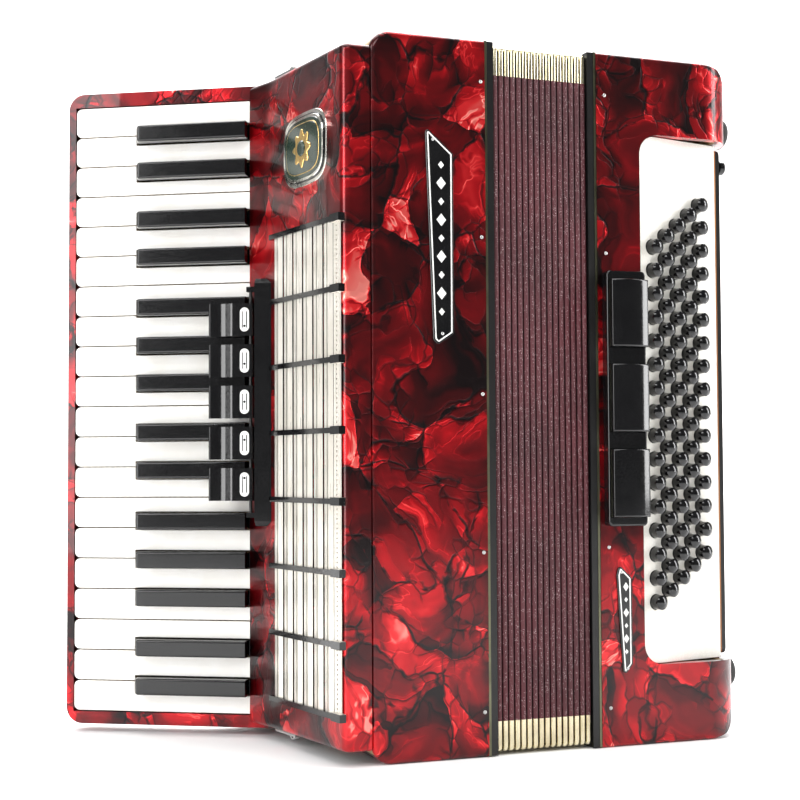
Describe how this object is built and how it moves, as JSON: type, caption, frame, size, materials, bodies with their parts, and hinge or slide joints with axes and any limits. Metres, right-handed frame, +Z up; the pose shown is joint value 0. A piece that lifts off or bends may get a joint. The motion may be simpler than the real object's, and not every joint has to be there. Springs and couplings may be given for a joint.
{
  "type": "piano accordion",
  "caption": "Piano accordion: piano keyboard and register tablets on one casing, folded bellows, and a bass casing with button board, register keys and hand strap.",
  "frame": {"origin": "middle of the bounding box at its lower end, on the surface that the accordion stands on", "axes": "+Z up along the keyboard towards its low notes, +X from the treble side to the bass side along the bellows, front towards -Y"},
  "size_m": [0.3939, 0.218, 0.4],
  "materials": {
    "red_celluloid": "high gloss red pearl celluloid over wood",
    "ivory_plastic": "gloss white",
    "black_plastic": "gloss black",
    "chrome": "polished",
    "wood": "plain spruce",
    "bellows_cloth": "maroon leather cloth",
    "rubber": "matt black",
    "leather": "black leather"
  },
  "bodies": {
    "treble": {"treble_casing": "red_celluloid", "grille_cover": "red_celluloid", "grille_slats": "chrome", "keyboard_bed": "red_celluloid", "treble_reed_blocks": "wood", "register_housing": "black_plastic", "treble_bellows_frame": "black_plastic", "bellows": "bellows_cloth"},
    "bass": {"bass_bellows_frame": "black_plastic", "bass_casing": "red_celluloid", "button_board": "ivory_plastic", "bass_end_plate": "black_plastic", "bass_reed_blocks": "wood", "bass_register_housing": "black_plastic", "rubber_feet": "rubber", "bass_strap": "leather"},
    "white_key_01": {"white_key_01": "ivory_plastic"},
    "white_key_02": {"white_key_02": "ivory_plastic"},
    "white_key_03": {"white_key_03": "ivory_plastic"},
    "white_key_04": {"white_key_04": "ivory_plastic"},
    "white_key_05": {"white_key_05": "ivory_plastic"},
    "white_key_06": {"white_key_06": "ivory_plastic"},
    "white_key_07": {"white_key_07": "ivory_plastic"},
    "white_key_08": {"white_key_08": "ivory_plastic"},
    "white_key_09": {"white_key_09": "ivory_plastic"},
    "white_key_10": {"white_key_10": "ivory_plastic"},
    "white_key_11": {"white_key_11": "ivory_plastic"},
    "white_key_12": {"white_key_12": "ivory_plastic"},
    "white_key_13": {"white_key_13": "ivory_plastic"},
    "white_key_14": {"white_key_14": "ivory_plastic"},
    "white_key_15": {"white_key_15": "ivory_plastic"},
    "white_key_16": {"white_key_16": "ivory_plastic"},
    "white_key_17": {"white_key_17": "ivory_plastic"},
    "white_key_18": {"white_key_18": "ivory_plastic"},
    "white_key_19": {"white_key_19": "ivory_plastic"},
    "white_key_20": {"white_key_20": "ivory_plastic"},
    "black_key_01": {"black_key_01": "black_plastic"},
    "black_key_02": {"black_key_02": "black_plastic"},
    "black_key_03": {"black_key_03": "black_plastic"},
    "black_key_04": {"black_key_04": "black_plastic"},
    "black_key_05": {"black_key_05": "black_plastic"},
    "black_key_06": {"black_key_06": "black_plastic"},
    "black_key_07": {"black_key_07": "black_plastic"},
    "black_key_08": {"black_key_08": "black_plastic"},
    "black_key_09": {"black_key_09": "black_plastic"},
    "black_key_10": {"black_key_10": "black_plastic"},
    "black_key_11": {"black_key_11": "black_plastic"},
    "black_key_12": {"black_key_12": "black_plastic"},
    "black_key_13": {"black_key_13": "black_plastic"},
    "black_key_14": {"black_key_14": "black_plastic"},
    "treble_register_1": {"treble_register_1": "black_plastic"},
    "treble_register_2": {"treble_register_2": "black_plastic"},
    "treble_register_3": {"treble_register_3": "black_plastic"},
    "treble_register_4": {"treble_register_4": "black_plastic"},
    "treble_register_5": {"treble_register_5": "black_plastic"},
    "bass_register_1": {"bass_register_1": "black_plastic"},
    "bass_register_2": {"bass_register_2": "black_plastic"},
    "bass_register_3": {"bass_register_3": "black_plastic"},
    "bass_buttons": {"bass_buttons": "black_plastic"},
    "air_button": {"air_button": "black_plastic"}
  },
  "joints": [
    {"name": "bellows_slide", "type": "slide", "parent": "treble", "child": "bass", "axis": [1, 0, 0], "range_m": [0, 0.3], "deforming": ["bellows"]},
    {"name": "white_key_01_hinge", "type": "hinge", "parent": "treble", "child": "white_key_01", "pos_m": [-0.085, 0.01577, 0.37375], "axis": [0, 0, -1], "range_deg": [0, 2], "stiffness_Nm_per_rad": 0.5, "springref_deg": -8.59},
    {"name": "white_key_02_hinge", "type": "hinge", "parent": "treble", "child": "white_key_02", "pos_m": [-0.085, 0.01577, 0.35525], "axis": [0, 0, -1], "range_deg": [0, 2], "stiffness_Nm_per_rad": 0.5, "springref_deg": -8.59},
    {"name": "white_key_03_hinge", "type": "hinge", "parent": "treble", "child": "white_key_03", "pos_m": [-0.085, 0.01577, 0.33675], "axis": [0, 0, -1], "range_deg": [0, 2], "stiffness_Nm_per_rad": 0.5, "springref_deg": -8.59},
    {"name": "white_key_04_hinge", "type": "hinge", "parent": "treble", "child": "white_key_04", "pos_m": [-0.085, 0.01577, 0.31825], "axis": [0, 0, -1], "range_deg": [0, 2], "stiffness_Nm_per_rad": 0.5, "springref_deg": -8.59},
    {"name": "white_key_05_hinge", "type": "hinge", "parent": "treble", "child": "white_key_05", "pos_m": [-0.085, 0.01577, 0.29975], "axis": [0, 0, -1], "range_deg": [0, 2], "stiffness_Nm_per_rad": 0.5, "springref_deg": -8.59},
    {"name": "white_key_06_hinge", "type": "hinge", "parent": "treble", "child": "white_key_06", "pos_m": [-0.085, 0.01577, 0.28125], "axis": [0, 0, -1], "range_deg": [0, 2], "stiffness_Nm_per_rad": 0.5, "springref_deg": -8.59},
    {"name": "white_key_07_hinge", "type": "hinge", "parent": "treble", "child": "white_key_07", "pos_m": [-0.085, 0.01577, 0.26275], "axis": [0, 0, -1], "range_deg": [0, 2], "stiffness_Nm_per_rad": 0.5, "springref_deg": -8.59},
    {"name": "white_key_08_hinge", "type": "hinge", "parent": "treble", "child": "white_key_08", "pos_m": [-0.085, 0.01577, 0.24425], "axis": [0, 0, -1], "range_deg": [0, 2], "stiffness_Nm_per_rad": 0.5, "springref_deg": -8.59},
    {"name": "white_key_09_hinge", "type": "hinge", "parent": "treble", "child": "white_key_09", "pos_m": [-0.085, 0.01577, 0.22575], "axis": [0, 0, -1], "range_deg": [0, 2], "stiffness_Nm_per_rad": 0.5, "springref_deg": -8.59},
    {"name": "white_key_10_hinge", "type": "hinge", "parent": "treble", "child": "white_key_10", "pos_m": [-0.085, 0.01577, 0.20725], "axis": [0, 0, -1], "range_deg": [0, 2], "stiffness_Nm_per_rad": 0.5, "springref_deg": -8.59},
    {"name": "white_key_11_hinge", "type": "hinge", "parent": "treble", "child": "white_key_11", "pos_m": [-0.085, 0.01577, 0.18875], "axis": [0, 0, -1], "range_deg": [0, 2], "stiffness_Nm_per_rad": 0.5, "springref_deg": -8.59},
    {"name": "white_key_12_hinge", "type": "hinge", "parent": "treble", "child": "white_key_12", "pos_m": [-0.085, 0.01577, 0.17025], "axis": [0, 0, -1], "range_deg": [0, 2], "stiffness_Nm_per_rad": 0.5, "springref_deg": -8.59},
    {"name": "white_key_13_hinge", "type": "hinge", "parent": "treble", "child": "white_key_13", "pos_m": [-0.085, 0.01577, 0.15175], "axis": [0, 0, -1], "range_deg": [0, 2], "stiffness_Nm_per_rad": 0.5, "springref_deg": -8.59},
    {"name": "white_key_14_hinge", "type": "hinge", "parent": "treble", "child": "white_key_14", "pos_m": [-0.085, 0.01577, 0.13325], "axis": [0, 0, -1], "range_deg": [0, 2], "stiffness_Nm_per_rad": 0.5, "springref_deg": -8.59},
    {"name": "white_key_15_hinge", "type": "hinge", "parent": "treble", "child": "white_key_15", "pos_m": [-0.085, 0.01577, 0.11475], "axis": [0, 0, -1], "range_deg": [0, 2], "stiffness_Nm_per_rad": 0.5, "springref_deg": -8.59},
    {"name": "white_key_16_hinge", "type": "hinge", "parent": "treble", "child": "white_key_16", "pos_m": [-0.085, 0.01577, 0.09625], "axis": [0, 0, -1], "range_deg": [0, 2], "stiffness_Nm_per_rad": 0.5, "springref_deg": -8.59},
    {"name": "white_key_17_hinge", "type": "hinge", "parent": "treble", "child": "white_key_17", "pos_m": [-0.085, 0.01577, 0.07775], "axis": [0, 0, -1], "range_deg": [0, 2], "stiffness_Nm_per_rad": 0.5, "springref_deg": -8.59},
    {"name": "white_key_18_hinge", "type": "hinge", "parent": "treble", "child": "white_key_18", "pos_m": [-0.085, 0.01577, 0.05925], "axis": [0, 0, -1], "range_deg": [0, 2], "stiffness_Nm_per_rad": 0.5, "springref_deg": -8.59},
    {"name": "white_key_19_hinge", "type": "hinge", "parent": "treble", "child": "white_key_19", "pos_m": [-0.085, 0.01577, 0.04075], "axis": [0, 0, -1], "range_deg": [0, 2], "stiffness_Nm_per_rad": 0.5, "springref_deg": -8.59},
    {"name": "white_key_20_hinge", "type": "hinge", "parent": "treble", "child": "white_key_20", "pos_m": [-0.085, 0.01577, 0.02225], "axis": [0, 0, -1], "range_deg": [0, 2], "stiffness_Nm_per_rad": 0.5, "springref_deg": -8.59},
    {"name": "black_key_01_hinge", "type": "hinge", "parent": "treble", "child": "black_key_01", "pos_m": [-0.085, 0.01577, 0.364], "axis": [0, 0, -1], "range_deg": [0, 2.4], "stiffness_Nm_per_rad": 0.5, "springref_deg": -8.59},
    {"name": "black_key_02_hinge", "type": "hinge", "parent": "treble", "child": "black_key_02", "pos_m": [-0.085, 0.01577, 0.3412], "axis": [0, 0, -1], "range_deg": [0, 2.4], "stiffness_Nm_per_rad": 0.5, "springref_deg": -8.59},
    {"name": "black_key_03_hinge", "type": "hinge", "parent": "treble", "child": "black_key_03", "pos_m": [-0.085, 0.01577, 0.3113], "axis": [0, 0, -1], "range_deg": [0, 2.4], "stiffness_Nm_per_rad": 0.5, "springref_deg": -8.59},
    {"name": "black_key_04_hinge", "type": "hinge", "parent": "treble", "child": "black_key_04", "pos_m": [-0.085, 0.01577, 0.2883], "axis": [0, 0, -1], "range_deg": [0, 2.4], "stiffness_Nm_per_rad": 0.5, "springref_deg": -8.59},
    {"name": "black_key_05_hinge", "type": "hinge", "parent": "treble", "child": "black_key_05", "pos_m": [-0.085, 0.01577, 0.2577], "axis": [0, 0, -1], "range_deg": [0, 2.4], "stiffness_Nm_per_rad": 0.5, "springref_deg": -8.59},
    {"name": "black_key_06_hinge", "type": "hinge", "parent": "treble", "child": "black_key_06", "pos_m": [-0.085, 0.01577, 0.2345], "axis": [0, 0, -1], "range_deg": [0, 2.4], "stiffness_Nm_per_rad": 0.5, "springref_deg": -8.59},
    {"name": "black_key_07_hinge", "type": "hinge", "parent": "treble", "child": "black_key_07", "pos_m": [-0.085, 0.01577, 0.2117], "axis": [0, 0, -1], "range_deg": [0, 2.4], "stiffness_Nm_per_rad": 0.5, "springref_deg": -8.59},
    {"name": "black_key_08_hinge", "type": "hinge", "parent": "treble", "child": "black_key_08", "pos_m": [-0.085, 0.01577, 0.1818], "axis": [0, 0, -1], "range_deg": [0, 2.4], "stiffness_Nm_per_rad": 0.5, "springref_deg": -8.59},
    {"name": "black_key_09_hinge", "type": "hinge", "parent": "treble", "child": "black_key_09", "pos_m": [-0.085, 0.01577, 0.1588], "axis": [0, 0, -1], "range_deg": [0, 2.4], "stiffness_Nm_per_rad": 0.5, "springref_deg": -8.59},
    {"name": "black_key_10_hinge", "type": "hinge", "parent": "treble", "child": "black_key_10", "pos_m": [-0.085, 0.01577, 0.1282], "axis": [0, 0, -1], "range_deg": [0, 2.4], "stiffness_Nm_per_rad": 0.5, "springref_deg": -8.59},
    {"name": "black_key_11_hinge", "type": "hinge", "parent": "treble", "child": "black_key_11", "pos_m": [-0.085, 0.01577, 0.105], "axis": [0, 0, -1], "range_deg": [0, 2.4], "stiffness_Nm_per_rad": 0.5, "springref_deg": -8.59},
    {"name": "black_key_12_hinge", "type": "hinge", "parent": "treble", "child": "black_key_12", "pos_m": [-0.085, 0.01577, 0.0822], "axis": [0, 0, -1], "range_deg": [0, 2.4], "stiffness_Nm_per_rad": 0.5, "springref_deg": -8.59},
    {"name": "black_key_13_hinge", "type": "hinge", "parent": "treble", "child": "black_key_13", "pos_m": [-0.085, 0.01577, 0.0523], "axis": [0, 0, -1], "range_deg": [0, 2.4], "stiffness_Nm_per_rad": 0.5, "springref_deg": -8.59},
    {"name": "black_key_14_hinge", "type": "hinge", "parent": "treble", "child": "black_key_14", "pos_m": [-0.085, 0.01577, 0.0293], "axis": [0, 0, -1], "range_deg": [0, 2.4], "stiffness_Nm_per_rad": 0.5, "springref_deg": -8.59},
    {"name": "treble_register_1_hinge", "type": "hinge", "parent": "treble", "child": "treble_register_1", "pos_m": [-0.10183, 0.00174, 0.2477], "axis": [0, 0, -1], "range_deg": [0, 6], "stiffness_Nm_per_rad": 0.2, "springref_deg": -8.59},
    {"name": "treble_register_2_hinge", "type": "hinge", "parent": "treble", "child": "treble_register_2", "pos_m": [-0.10183, 0.00174, 0.22335], "axis": [0, 0, -1], "range_deg": [0, 6], "stiffness_Nm_per_rad": 0.2, "springref_deg": -8.59},
    {"name": "treble_register_3_hinge", "type": "hinge", "parent": "treble", "child": "treble_register_3", "pos_m": [-0.10183, 0.00174, 0.199], "axis": [0, 0, -1], "range_deg": [0, 6], "stiffness_Nm_per_rad": 0.2, "springref_deg": -8.59},
    {"name": "treble_register_4_hinge", "type": "hinge", "parent": "treble", "child": "treble_register_4", "pos_m": [-0.10183, 0.00174, 0.17465], "axis": [0, 0, -1], "range_deg": [0, 6], "stiffness_Nm_per_rad": 0.2, "springref_deg": -8.59},
    {"name": "treble_register_5_hinge", "type": "hinge", "parent": "treble", "child": "treble_register_5", "pos_m": [-0.10183, 0.00174, 0.1503], "axis": [0, 0, -1], "range_deg": [0, 6], "stiffness_Nm_per_rad": 0.2, "springref_deg": -8.59},
    {"name": "bass_buttons_slide", "type": "slide", "parent": "bass", "child": "bass_buttons", "axis": [-0.2215, 0.9751, 0], "range_m": [0, 0.004], "stiffness_N_per_m": 300, "springref_m": -0.006},
    {"name": "bass_register_1_slide", "type": "slide", "parent": "bass", "child": "bass_register_1", "axis": [0, 1, 0], "range_m": [0, 0.003], "stiffness_N_per_m": 300, "springref_m": -0.004},
    {"name": "bass_register_2_slide", "type": "slide", "parent": "bass", "child": "bass_register_2", "axis": [0, 1, 0], "range_m": [0, 0.003], "stiffness_N_per_m": 300, "springref_m": -0.004},
    {"name": "bass_register_3_slide", "type": "slide", "parent": "bass", "child": "bass_register_3", "axis": [0, 1, 0], "range_m": [0, 0.003], "stiffness_N_per_m": 300, "springref_m": -0.004},
    {"name": "air_button_slide", "type": "slide", "parent": "bass", "child": "air_button", "axis": [-1, 0, 0], "range_m": [0, 0.002], "stiffness_N_per_m": 300, "springref_m": -0.004}
  ]
}
